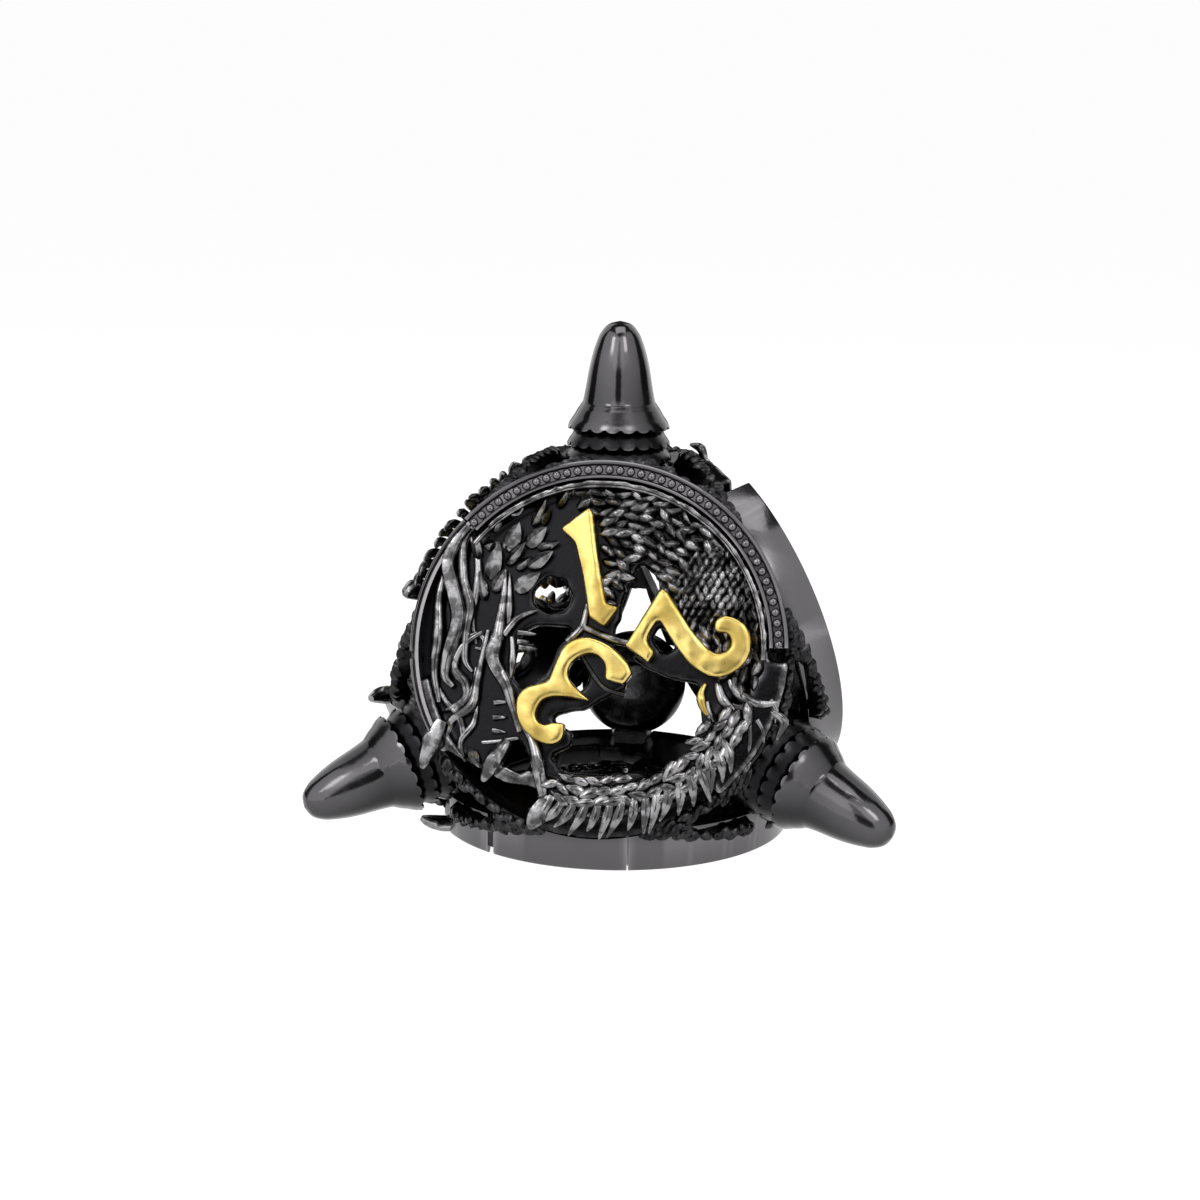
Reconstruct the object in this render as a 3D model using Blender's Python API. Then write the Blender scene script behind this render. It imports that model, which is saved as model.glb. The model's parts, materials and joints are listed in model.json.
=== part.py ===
"""Hollow metal four-sided die: four round medallions with a pierced dragon, four horns, raised numerals.

Every piece is one closed solid. A medallion is a rim, a pierced dragon plate that sits in it, and three
numerals seated on the plate. At each corner a turned collar takes the ends of three medallions, and a horn
with a stud stands in the collar's bore.

World frame: +Z up, the base medallion's outer face on z = 0, the front medallion facing -Y, and the
origin in the middle of the bounding box's bottom.
"""

import math

import bmesh
import bpy
from mathutils import Matrix, Vector

MM = 0.001

# Driving dimensions
HORN_SPAN = 30.0 * MM  # across the outsides of two horn tips
TIP_RADIUS = 1.03 * MM
CORNER_DISTANCE = (HORN_SPAN - 2 * TIP_RADIUS) / (2 * math.sqrt(2 / 3))
FACE_DISTANCE = 0.485 * CORNER_DISTANCE  # from the die's centre to each medallion's outer face
FIT_GAP = 0.04 * MM  # clearance between touching pieces

# Rims
RIM_RADIUS = 9.4 * MM
RIM_WIDTH = 0.95 * MM
RIM_DEPTH = 2.1 * MM
RIM_START = 2.0  # degrees, from the medallion's right-hand side
RIM_END = 138.5
ARC_STEP = 7.5

# Dragon plates
WEB_TOP = -1.0 * MM  # the web's face under the numerals, from the medallion's outer face
WEB_BOTTOM = -1.9 * MM
BAND_TOP = 0.0 * MM  # the raised band, level with the rim, so that the die rests on both
BAND_INNER = 7.75 * MM
TAIL_INNER = 6.9 * MM
TAIL_END = 341.0  # degrees, where the tail makes way for the second numeral

# Numerals
NUMERAL_TOP = -0.05 * MM
CURVE_STEPS = 4

# Collars and horns, along a corner's own axis from the die's centre
TURNED_SIDES = 24
BORE_RADIUS = 1.1 * MM
HUB_RADIUS = 3.0 * MM
HUB_CHAMFER = 0.55 * MM
HUB_START = 8.6 * MM
HUB_END = 11.3 * MM
TIER_HEIGHT = 0.45 * MM
TIER_FLARE = 0.15 * MM  # height over which a tier widens from its groove
TIER_WALL = 0.21 * MM  # height of a tier's straight wall, above its flare
TIER_RADIUS = 2.68 * MM
TIER_GROOVE = 2.42 * MM
TIERS = 3
COLLAR_END = HUB_END + TIERS * TIER_HEIGHT
STUD_RADIUS = BORE_RADIUS - FIT_GAP
STUD_START = 9.9 * MM

# A horn's outline from its skirt to its tip: radius, and distance below the tip
HORN_PROFILE = (
    (2.72 * MM, 5.20 * MM), (2.55 * MM, 4.95 * MM), (2.20 * MM, 4.60 * MM), (1.98 * MM, 4.30 * MM),
    (1.86 * MM, 4.20 * MM), (1.72 * MM, 3.35 * MM), (1.57 * MM, 2.45 * MM), (1.39 * MM, 1.70 * MM),
    (1.20 * MM, 1.12 * MM), (0.98 * MM, 0.62 * MM), (0.58 * MM, 0.17 * MM), (0.0, 0.0),
)

# Cutters reach past the pieces they trim
CUT_MARGIN = 1.0 * MM

MERGE_DISTANCE = 0.001 * MM
SHARP_ANGLE = 35.0  # degrees between two faces, past which their edge stays sharp

# Colour and roughness of each metal
GUNMETAL = ((0.11, 0.11, 0.115), 0.22)
DARK_GUNMETAL = ((0.07, 0.07, 0.075), 0.35)
GILT = ((0.78, 0.60, 0.24), 0.25)

CORNERS = {
    "top": Vector((0.0, 0.0, 1.0)),
    "left": Vector((-math.sqrt(2 / 3), -math.sqrt(2) / 3, -1 / 3)),
    "right": Vector((math.sqrt(2 / 3), -math.sqrt(2) / 3, -1 / 3)),
    "back": Vector((0.0, 2 * math.sqrt(2) / 3, -1 / 3)),
}
CORNER_NUMBERS = {"top": 1, "right": 2, "left": 3, "back": 4}

# Each medallion: the corner opposite, then the corners above, lower right and lower left of its centre,
# as its dragon stands
MEDALLIONS = {
    "front": ("back", "top", "right", "left"),
    "left": ("right", "back", "top", "left"),
    "right": ("left", "right", "top", "back"),
    "base": ("top", "right", "back", "left"),
}

# Where a numeral stands on its medallion: centre in mm and turn in degrees
NUMERAL_SEATS = ((-0.6, 4.0, 11.0), (4.3, 0.7, -121.0), (-1.3, -2.2, 140.0))

# Numeral outlines in mm, clockwise or anticlockwise; True marks a sharp corner
NUMERALS = {
    1: (
        (0.37, 3.00, True), (-1.20, 2.15, True), (-0.55, 1.35, True), (-0.40, -0.50, False),
        (-0.38, -2.45, True), (0.30, -3.10, True), (1.20, -2.20, True), (0.58, -1.95, True),
        (0.50, 0.30, False), (0.55, 2.75, True),
    ),
    2: (
        (-1.40, -2.35, True), (2.00, -2.25, True), (2.05, -0.80, True), (1.45, -0.80, True),
        (1.10, -1.50, False), (-0.05, -1.60, True), (0.55, -0.30, False), (1.00, 1.10, False),
        (0.80, 2.45, False), (-0.35, 3.15, False), (-1.50, 2.95, False), (-2.15, 2.10, False),
        (-2.00, 1.10, False), (-1.45, 0.80, False), (-1.05, 1.15, False), (-1.30, 1.75, False),
        (-0.75, 2.15, False), (-0.15, 1.60, False), (-0.45, 0.20, False), (-1.40, -1.95, True),
    ),
    3: (
        (-0.95, 1.30, True), (-1.40, 2.00, False), (-1.00, 2.70, False), (0.30, 2.95, False),
        (1.40, 2.40, False), (1.75, 1.50, False), (1.10, 0.30, True), (1.50, -0.70, False),
        (1.70, -1.60, False), (1.25, -2.50, False), (0.10, -3.00, False), (-1.10, -3.00, False),
        (-1.75, -2.75, True), (-1.80, -2.05, True), (-0.95, -1.60, True), (-0.35, -2.20, False),
        (0.45, -2.10, False), (0.85, -1.20, False), (0.40, -0.45, False), (-1.15, -0.35, True),
        (0.05, 0.45, False), (0.65, 1.20, False), (0.40, 2.00, False), (-0.20, 2.10, False),
        (-0.45, 1.70, False),
    ),
    4: (
        (0.45, 3.00, True), (-2.00, -0.60, True), (-1.75, -1.15, True), (0.15, -1.15, True),
        (0.10, -2.35, True), (0.55, -3.05, True), (1.15, -2.35, True), (1.00, -1.15, True),
        (1.70, -1.15, True), (1.95, -0.30, True), (1.00, -0.40, True), (1.00, 2.55, True),
    ),
}
NUMERAL_HOLES = {4: ((-0.95, -0.40), (0.20, -0.40), (0.20, 1.40))}

# Windows pierced through each dragon plate, in mm
WINDOWS = (
    ((-3.5, 2.9), (-2.8, 3.6), (-1.9, 3.5), (-1.5, 2.6), (-1.8, 1.9), (-2.7, 1.7), (-3.4, 2.1)),
    ((-4.0, 0.6), (-3.3, 1.1), (-1.2, 1.1), (-2.1, 0.0), (-2.6, -1.3), (-3.8, -2.2), (-4.4, -1.4)),
    ((1.8, 4.5), (3.0, 3.5), (1.6, 0.9), (1.0, 1.3), (1.0, 2.5)),
    ((2.9, 1.5), (3.9, 0.2), (3.2, -0.1), (2.6, 0.6)),
    (
        (-2.4, -3.5), (-1.1, -3.1), (0.3, -3.0), (1.2, -2.4), (2.2, -1.9), (3.4, -1.6), (5.0, -1.8), (5.3, -3.6),
        (4.4, -5.1), (2.6, -5.9), (0.5, -6.2), (-1.5, -6.2), (-2.2, -5.4), (-1.2, -4.9), (-1.1, -4.2),
    ),
    ((-5.3, -5.6), (-3.8, -4.6), (-3.1, -5.8), (-3.5, -6.4)),
)


def remove_all_objects():
    """Clear the scene."""
    for thing in list(bpy.data.objects):
        bpy.data.objects.remove(thing, do_unlink=True)


def metal(name, colour, roughness):
    """A plain metal material."""
    material = bpy.data.materials.new(name)
    material.use_nodes = True
    shader = material.node_tree.nodes["Principled BSDF"]
    shader.inputs["Base Color"].default_value = (*colour, 1.0)
    shader.inputs["Roughness"].default_value = roughness
    shader.inputs["Metallic"].default_value = 1.0
    return material


def add_object(name, mesh_builder, place, material=None):
    """An object from a filled bmesh, with its faces pointing out."""
    bmesh.ops.recalc_face_normals(mesh_builder, faces=mesh_builder.faces)
    mesh = bpy.data.meshes.new(name)
    mesh_builder.to_mesh(mesh)
    mesh_builder.free()
    thing = bpy.data.objects.new(name, mesh)
    thing.matrix_world = place
    bpy.context.collection.objects.link(thing)
    if material:
        mesh.materials.append(material)
    return thing


def prism(outline, low, high):
    """A closed prism over an outline of (x, y) points, between two heights."""
    builder = bmesh.new()
    corners = [builder.verts.new((x, y, low)) for x, y in outline]
    bottom = builder.faces.new(corners)
    lifted = bmesh.ops.extrude_face_region(builder, geom=[bottom])["geom"]
    moved = [item for item in lifted if isinstance(item, bmesh.types.BMVert)]
    bmesh.ops.translate(builder, verts=moved, vec=(0.0, 0.0, high - low))
    return builder


def turned(profile, sides=TURNED_SIDES):
    """A closed solid of revolution about Z from a loop of (radius, height) points."""
    builder = bmesh.new()
    verts = [builder.verts.new((radius, 0.0, height)) for radius, height in profile]
    edges = [builder.edges.new(pair) for pair in zip(verts, verts[1:])]
    if profile[0][0] > 0:
        edges.append(builder.edges.new((verts[-1], verts[0])))
    bmesh.ops.spin(
        builder, geom=verts + edges, cent=(0, 0, 0), axis=(0, 0, 1), angle=math.tau, steps=sides, use_merge=True
    )
    bmesh.ops.remove_doubles(builder, verts=builder.verts, dist=MERGE_DISTANCE)
    return builder


def shade_round(thing):
    """Smooth shading with sharp edges kept."""
    thing.data.shade_smooth()
    thing.data.set_sharp_from_angle(angle=math.radians(SHARP_ANGLE))


def arc(radius, start, end):
    """Points along a circle from one angle to another, in degrees."""
    count = max(1, round(abs(end - start) / ARC_STEP))
    angles = [math.radians(start + (end - start) * index / count) for index in range(count + 1)]
    return [(radius * math.cos(angle), radius * math.sin(angle)) for angle in angles]


def smooth_outline(points):
    """Outline points in metres, with a curve through the points that aren't sharp corners."""
    outline = []
    count = len(points)
    for index, (x, y, sharp) in enumerate(points):
        start, end = Vector((x, y)), Vector(points[(index + 1) % count][:2])
        before, after = Vector(points[index - 1][:2]), Vector(points[(index + 2) % count][:2])
        leave = (end - start) if sharp else (end - before) / 2
        arrive = (end - start) if points[(index + 1) % count][2] else (after - start) / 2
        straight = sharp and points[(index + 1) % count][2]
        steps = 1 if straight else CURVE_STEPS
        for step in range(steps):
            t = step / steps
            blend = (
                (2 * t**3 - 3 * t**2 + 1) * start + (t**3 - 2 * t**2 + t) * leave
                + (-2 * t**3 + 3 * t**2) * end + (t**3 - t**2) * arrive
            )
            outline.append((blend.x * MM, blend.y * MM))
    return outline


def cutter(name, builder, place):
    """A solid that only cuts others."""
    thing = add_object(name, builder, place)
    thing.hide_render = True
    thing.display_type = "WIRE"
    return thing


def trim(thing, tool, operation):
    """Cut a piece with a cutter, or keep only what is inside it."""
    change = thing.modifiers.new(tool.name, "BOOLEAN")
    change.operation = operation
    change.object = tool
    change.solver = "EXACT"


def die_centre():
    """The die's centre, placed so that the bounding box's bottom is centred on the origin."""
    low = -2 * math.sqrt(2) / 3 * (FACE_DISTANCE + BAND_TOP) - RIM_RADIUS / 3
    high = 2 * math.sqrt(2) / 3 * CORNER_DISTANCE + TIP_RADIUS
    return Vector((0.0, -(low + high) / 2, FACE_DISTANCE))


def medallion_place(name):
    """World matrix of a medallion: origin at its centre on the outer face, +Z out, +Y to its first corner."""
    opposite, above = MEDALLIONS[name][:2]
    out = -CORNERS[opposite]
    up = (CORNERS[above] - CORNERS[above].dot(out) * out).normalized()
    right = up.cross(out)
    rotation = Matrix((right, up, out)).transposed().to_4x4()
    return Matrix.Translation(die_centre() + out * FACE_DISTANCE) @ rotation


def corner_place(name):
    """World matrix of a corner: origin at the die's centre, +Z out along the corner's axis."""
    axis = CORNERS[name]
    rotation = Vector((0.0, 0.0, 1.0)).rotation_difference(axis).to_matrix().to_4x4()
    return Matrix.Translation(die_centre()) @ rotation


def wedge_cutter(name, place):
    """The three-sided pyramid from the die's centre that holds one medallion's share of the die."""
    tip = -FACE_DISTANCE + FIT_GAP / 2 * math.sqrt(3 / 2)
    reach = (CUT_MARGIN - tip) * 2 * math.sqrt(2)
    builder = bmesh.new()
    base = [
        builder.verts.new((reach * math.cos(angle), reach * math.sin(angle), CUT_MARGIN))
        for angle in (math.radians(90 + 120 * turn) for turn in range(3))
    ]
    point = builder.verts.new((0.0, 0.0, tip))
    builder.faces.new(base)
    for first, second in zip(base, base[1:] + base[:1]):
        builder.faces.new((first, second, point))
    return cutter(f"cut_wedge_{name}", builder, place)


def hub_cutter():
    """Four cylinders, one at each corner, that clear the medallions round the collars."""
    builder = bmesh.new()
    for name in CORNERS:
        length = COLLAR_END + CUT_MARGIN - HUB_START
        middle = Matrix.Translation((0.0, 0.0, HUB_START + length / 2))
        bmesh.ops.create_cone(
            builder, cap_ends=True, segments=TURNED_SIDES, radius1=HUB_RADIUS + FIT_GAP,
            radius2=HUB_RADIUS + FIT_GAP, depth=length, matrix=corner_place(name) @ middle,
        )
    return cutter("cut_hubs", builder, Matrix.Identity(4))


def make_rim(name, place, wedge, hubs, material):
    """The smooth arc round a medallion, mitred against its neighbours."""
    outer = arc(RIM_RADIUS, RIM_START, RIM_END)
    inner = arc(RIM_RADIUS - RIM_WIDTH, RIM_END, RIM_START)
    rim = add_object(f"rim_{name}", prism(outer + inner, -RIM_DEPTH, 0.0), place, material)
    trim(rim, wedge, "INTERSECT")
    trim(rim, hubs, "DIFFERENCE")
    shade_round(rim)


def make_dragon(name, place, wedge, hubs, material):
    """The pierced plate with a raised band, and the tail that closes the circle where the rim stops."""
    seat = RIM_RADIUS - RIM_WIDTH - FIT_GAP
    rim_start, rim_end = RIM_START - ARC_STEP / 2, RIM_END + ARC_STEP / 2
    tail_end = rim_start + 360
    plate_edge = arc(seat, rim_start, rim_end) + arc(RIM_RADIUS, rim_end, tail_end)
    dragon = add_object(f"dragon_{name}", prism(plate_edge, WEB_BOTTOM, BAND_TOP), place, material)
    recess_edge = arc(BAND_INNER, TAIL_END - 360, rim_end) + arc(TAIL_INNER, rim_end, TAIL_END)
    recess = cutter(f"cut_recess_{name}", prism(recess_edge, WEB_TOP, CUT_MARGIN), place)
    trim(dragon, recess, "DIFFERENCE")
    windows = bmesh.new()
    for outline in WINDOWS:
        hole = prism([(x * MM, y * MM) for x, y in outline], WEB_BOTTOM - CUT_MARGIN, CUT_MARGIN)
        shape = bpy.data.meshes.new("window")
        hole.to_mesh(shape)
        hole.free()
        windows.from_mesh(shape)
        bpy.data.meshes.remove(shape)
    trim(dragon, cutter(f"cut_windows_{name}", windows, place), "DIFFERENCE")
    trim(dragon, wedge, "INTERSECT")
    trim(dragon, hubs, "DIFFERENCE")


def make_numeral(medallion, corner, place, seat, material):
    """A numeral seated on a medallion's web, beside the corner that it counts for."""
    x, y, turn = seat
    shift = Matrix.Translation((x * MM, y * MM, 0.0)) @ Matrix.Rotation(math.radians(turn), 4, "Z")
    number = CORNER_NUMBERS[corner]
    outline = smooth_outline(NUMERALS[number])
    shape = prism(outline, WEB_TOP + FIT_GAP, NUMERAL_TOP)
    numeral = add_object(f"numeral_{number}_{medallion}", shape, place @ shift, material)
    if number in NUMERAL_HOLES:
        counter = prism([(x * MM, y * MM) for x, y in NUMERAL_HOLES[number]], WEB_BOTTOM, CUT_MARGIN)
        trim(numeral, cutter(f"cut_counter_{medallion}", counter, place @ shift), "DIFFERENCE")


def make_collar(name, material):
    """The hub that three medallions meet on, with stepped tiers outside and a bore through it."""
    profile = [(BORE_RADIUS, HUB_START), (HUB_RADIUS - HUB_CHAMFER, HUB_START)]
    profile += [(HUB_RADIUS, HUB_START + HUB_CHAMFER), (HUB_RADIUS, HUB_END)]
    for tier in range(TIERS):
        low = HUB_END + tier * TIER_HEIGHT
        flared = low + TIER_FLARE
        profile += [(TIER_GROOVE, low), (TIER_RADIUS, flared), (TIER_RADIUS, flared + TIER_WALL)]
    profile += [(TIER_GROOVE, COLLAR_END), (BORE_RADIUS, COLLAR_END)]
    shade_round(add_object(f"collar_{name}", turned(profile), corner_place(name), material))


def make_horn(name, material):
    """A rounded horn with a flared skirt, and the stud that it stands on."""
    skirt_base = COLLAR_END + FIT_GAP
    tip = CORNER_DISTANCE + TIP_RADIUS
    profile = [(0.0, STUD_START), (STUD_RADIUS, STUD_START), (STUD_RADIUS, skirt_base), (TIER_RADIUS, skirt_base)]
    profile += [(radius, tip - drop) for radius, drop in HORN_PROFILE]
    shade_round(add_object(f"horn_{name}", turned(profile), corner_place(name), material))


def main():
    """Build the whole die."""
    remove_all_objects()
    gunmetal = metal("gunmetal", *GUNMETAL)
    dark_metal = metal("gunmetal_dark", *DARK_GUNMETAL)
    gilt = metal("gilt", *GILT)
    hubs = hub_cutter()
    for name, (_, *corners) in MEDALLIONS.items():
        place = medallion_place(name)
        wedge = wedge_cutter(name, place)
        make_rim(name, place, wedge, hubs, gunmetal)
        make_dragon(name, place, wedge, hubs, dark_metal)
        for corner, seat in zip(corners, NUMERAL_SEATS):
            make_numeral(name, corner, place, seat, gilt)
    for name in CORNERS:
        make_collar(name, dark_metal)
        make_horn(name, gunmetal)


main()
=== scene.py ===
"""Hollow metal four-sided die with dragon medallions, horns and gilt numerals, modelled round the CAD frame.

Each medallion is modelled once, flat, in its own frame, in millimetres: +X to its right, +Y to its first
corner and +Z out of the die, with z = 0 on the outer face. Each corner is modelled once too: its origin is
the die's centre, +Z runs to the horn's tip and +X leans towards one of its three medallions.
"""

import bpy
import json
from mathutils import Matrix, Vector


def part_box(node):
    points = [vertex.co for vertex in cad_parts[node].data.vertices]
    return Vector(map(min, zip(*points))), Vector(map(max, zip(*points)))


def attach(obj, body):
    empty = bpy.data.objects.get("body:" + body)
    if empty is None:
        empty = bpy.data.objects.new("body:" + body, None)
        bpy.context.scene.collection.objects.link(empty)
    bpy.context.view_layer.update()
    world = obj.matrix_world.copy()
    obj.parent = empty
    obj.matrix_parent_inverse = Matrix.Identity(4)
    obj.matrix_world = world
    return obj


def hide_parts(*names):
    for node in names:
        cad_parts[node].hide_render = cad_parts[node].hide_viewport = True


bl_info = {
    "name": "Dragon die",
    "version": (1, 0, 0),
    "blender": (4, 5, 0),
    "location": "View3D > Sidebar > Dragon die",
    "description": "Models a hollow metal four-sided die with dragon medallions",
    "category": "Object",
}

import json
import math
import random
from contextlib import contextmanager

import bmesh
import bpy
from bpy.props import FloatProperty, FloatVectorProperty, IntProperty, PointerProperty
from mathutils import Matrix, Vector

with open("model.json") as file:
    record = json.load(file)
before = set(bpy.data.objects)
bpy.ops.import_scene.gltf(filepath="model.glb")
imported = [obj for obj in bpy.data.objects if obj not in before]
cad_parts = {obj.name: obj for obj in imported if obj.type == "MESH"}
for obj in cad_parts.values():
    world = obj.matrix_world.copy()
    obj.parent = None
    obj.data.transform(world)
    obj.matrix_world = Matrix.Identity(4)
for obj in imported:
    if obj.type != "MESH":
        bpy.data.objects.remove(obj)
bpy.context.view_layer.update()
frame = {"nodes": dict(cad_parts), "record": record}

MM = 0.001
MEDALLIONS = ("front", "left", "right", "base")
# Each corner: the medallion opposite it, and one of the three that meet at it
CORNERS = {
    "top": ("base", "front"),
    "left": ("right", "base"),
    "right": ("left", "base"),
    "back": ("front", "base"),
}


# ---------------------------------------------------------------- places read from the frame


def rest_mount(medallion):
    """A point on a medallion's outer face and the face's outward direction."""
    for mount in frame["record"]["mounts"]:
        if mount["name"] == f"rest_{medallion}":
            return Vector(mount["pos_m"]), Vector(mount["axis"]).normalized()
    raise RuntimeError(f"the record has no mount rest_{medallion}")


def find_die_centre():
    """The point that all four medallions face away from, and how far they are from it."""
    low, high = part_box("horn_top")
    middle = (low + high) / 2
    point, out = rest_mount("front")
    across = out.x * (point.x - middle.x) + out.y * (point.y - middle.y)
    distance = (across + out.z * point.z) / (1 + out.z)
    return Vector((middle.x, middle.y, distance)), distance


DIE_CENTRE, FACE_DISTANCE = find_die_centre()
FACE_OUT = FACE_DISTANCE / MM
TIP_OUT = (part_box("horn_top")[1].z - DIE_CENTRE.z) / MM
COLLAR_OUT = (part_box("collar_top")[1].z - DIE_CENTRE.z) / MM
COLLAR_IN = (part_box("collar_top")[0].z - DIE_CENTRE.z) / MM
STUD_IN = (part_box("horn_top")[0].z - DIE_CENTRE.z) / MM
RIM_DEPTH = (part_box("rim_base")[1].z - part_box("rim_base")[0].z) / MM

# Sizes of the medallions and corners, in mm and degrees
RIM_RADIUS = 9.4
RIM_INNER = 8.45
RIM_START, RIM_END = 2.0, 138.5
WALL_END = 183.5
LOBE_START, LOBE_END = 186.0, 209.0
WEB_TOP = -1.0
WEB_BOTTOM = -1.9
BORE_RADIUS = 1.1
STUD_RADIUS = 1.06
HUB_RADIUS = 3.0
TIERS_FROM = 10.4
TIERS = 3
MITRE_GAP = 0.02
LEVEL = -0.25  # relief above this height is flattened towards the outer face


def medallion_place(medallion):
    """World matrix of a medallion's own frame."""
    point, out = rest_mount(medallion)
    centre = DIE_CENTRE + out * FACE_DISTANCE
    up = (point - centre).normalized()
    turn = Matrix((up.cross(out), up, out)).transposed().to_4x4()
    return Matrix.Translation(centre) @ turn @ Matrix.Scale(MM, 4)


def corner_place(corner):
    """World matrix of a corner's own frame."""
    opposite, beside = CORNERS[corner]
    axis = -rest_mount(opposite)[1]
    lean = rest_mount(beside)[1]
    across = (lean - lean.dot(axis) * axis).normalized()
    turn = Matrix((across, axis.cross(across), axis)).transposed().to_4x4()
    return Matrix.Translation(DIE_CENTRE) @ turn @ Matrix.Scale(MM, 4)


MEDALLION_PLACES = {medallion: medallion_place(medallion) for medallion in MEDALLIONS}
CORNER_PLACES = {corner: corner_place(corner) for corner in CORNERS}


# ---------------------------------------------------------------- modelling by hand, in code


def take(*pieces):
    """Select these pieces and nothing else, the last one active."""
    bpy.ops.object.select_all(action="DESELECT")
    for piece in pieces:
        piece.select_set(True)
    bpy.context.view_layer.objects.active = pieces[-1]


@contextmanager
def editing(piece):
    """Edit mode on one piece, with all of it selected."""
    take(piece)
    bpy.ops.object.mode_set(mode="EDIT")
    bpy.ops.mesh.select_mode(type="VERT")
    bpy.ops.mesh.select_all(action="SELECT")
    yield
    bpy.ops.object.mode_set(mode="OBJECT")


def named(name):
    """Name the object that an operator has just added."""
    piece = bpy.context.object
    piece.name = name
    piece.data.name = name
    return piece


def tidy_shell(piece, distance=1e-4):
    """Merge a shell's doubles, drop loose edges and point its faces out."""
    with editing(piece):
        bpy.ops.mesh.remove_doubles(threshold=distance)
        bpy.ops.mesh.delete_loose()
        bpy.ops.mesh.select_all(action="SELECT")
        bpy.ops.mesh.normals_make_consistent(inside=False)


def smooth(piece, degrees=40.0):
    """Smooth shading, with edges over an angle kept sharp."""
    take(piece)
    bpy.ops.object.shade_smooth_by_angle(angle=math.radians(degrees))


def apply_modifier(piece, kind, **settings):
    """Add a modifier and apply it."""
    take(piece)
    change = piece.modifiers.new(kind.title(), kind)
    for key, value in settings.items():
        setattr(change, key, value)
    bpy.ops.object.modifier_apply(modifier=change.name)


def trim(piece, cutter, operation="DIFFERENCE"):
    """Cut a piece with a cutter, or keep what is inside it, and throw the cutter away."""
    apply_modifier(piece, "BOOLEAN", operation=operation, object=cutter, solver="EXACT")
    remove(cutter)


def slab(name, outline, low, high):
    """A closed slab over an outline of (x, y) points."""
    piece = loop_of(name, [(x, y, low) for x, y in outline], fill="NGON")
    with editing(piece):
        bpy.ops.mesh.extrude_region_move(TRANSFORM_OT_translate={"value": (0, 0, high - low)})
    tidy_shell(piece)
    return piece


def arc(radius, start, end, count):
    """Points along a circle, between two angles in degrees."""
    angles = [math.radians(start + (end - start) * index / count) for index in range(count + 1)]
    return [(radius * math.cos(angle), radius * math.sin(angle)) for angle in angles]


def copy_of(piece, name):
    """A copy with its own mesh."""
    twin = piece.copy()
    twin.data = piece.data.copy()
    twin.name = name
    twin.data.name = name
    bpy.context.collection.objects.link(twin)
    return twin


def join(name, *pieces):
    """Several pieces as one."""
    take(*pieces)
    bpy.ops.object.join()
    return named(name)


def remove(piece):
    """Delete a piece that was only a model for copies."""
    bpy.data.objects.remove(piece, do_unlink=True)


def settle(piece, place, slot, *nodes):
    """Put a finished piece in its place, in its slot's finish; it stands for the CAD nodes named."""
    piece.data.transform(place @ piece.matrix_world)
    piece.matrix_world = Matrix.Identity(4)
    piece.data.materials.clear()
    piece.data.materials.append(finish_of(slot))
    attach(piece, "root")
    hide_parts(*nodes)


def fit_copies(model, places, suffix, slot, node):
    """Fit a copy of a model in each place, for that place's CAD node, and throw the model away."""
    for name, place in places.items():
        settle(copy_of(model, f"{name}_{suffix}"), place, slot, f"{node}_{name}")
    remove(model)


def cad_copy(node, name, place):
    """A clean copy of a CAD node, in its medallion's own frame."""
    piece = copy_of(frame["nodes"][node], name)
    piece.parent = None
    for key in list(piece.keys()):
        del piece[key]
    piece.data.transform(place.inverted())
    tidy_shell(piece, 1e-3)
    return piece


def wear_round(piece, grain, passes):
    """Wear a piece's sharp edges round: rebuilt in grains of a size, then smoothed."""
    apply_modifier(piece, "REMESH", mode="VOXEL", voxel_size=grain)
    apply_modifier(piece, "SMOOTH", factor=0.5, iterations=passes)
    smooth(piece, 60.0)


def between(a, b, c, d, t):
    """A smooth curve's value a part t of the way from b to c, with a before them and d after."""
    return 0.5 * (2 * b + (c - a) * t + (2 * a - 5 * b + 4 * c - d) * t**2 + (3 * b - a - 3 * c + d) * t**3)


def flowing(points, steps):
    """Points on a smooth curve through all of the points given."""
    line = []
    for index in range(len(points) - 1):
        before = points[max(index - 1, 0)]
        start, end = points[index], points[index + 1]
        after = points[min(index + 2, len(points) - 1)]
        for step in range(steps):
            line.append(tuple(between(*values, step / steps) for values in zip(before, start, end, after)))
    return [*line, tuple(points[-1])]


def loop_of(name, points, fill="NOTHING"):
    """A closed outline through points, started from a circle."""
    bpy.ops.mesh.primitive_circle_add(vertices=len(points), fill_type=fill)
    piece = named(name)
    for vert, point in zip(piece.data.vertices, points):
        vert.co = point
    return piece


def turned(name, profile, steps=120):
    """A solid turned about Z from a loop of (radius, height) points."""
    piece = loop_of(name, [(radius, 0.0, height) for radius, height in profile])
    with editing(piece):
        bpy.ops.mesh.spin(steps=steps, angle=math.tau, center=(0, 0, 0), axis=(0, 0, 1))
    tidy_shell(piece)
    return piece


def scallop(piece, height, radius, teeth, notch, puff):
    """Shape the edge ring at a height and radius into rounded teeth."""
    for vert in piece.data.vertices:
        around = math.hypot(vert.co.x, vert.co.y)
        if abs(vert.co.z - height) < 1e-3 and abs(around - radius) < 1e-3:
            tooth = math.sqrt(abs(math.cos(teeth / 2 * math.atan2(vert.co.y, vert.co.x))))
            vert.co.z += notch * (1 - tooth)
            grow = 1 + puff / radius * (tooth - 0.5)
            vert.co.x *= grow
            vert.co.y *= grow


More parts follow.
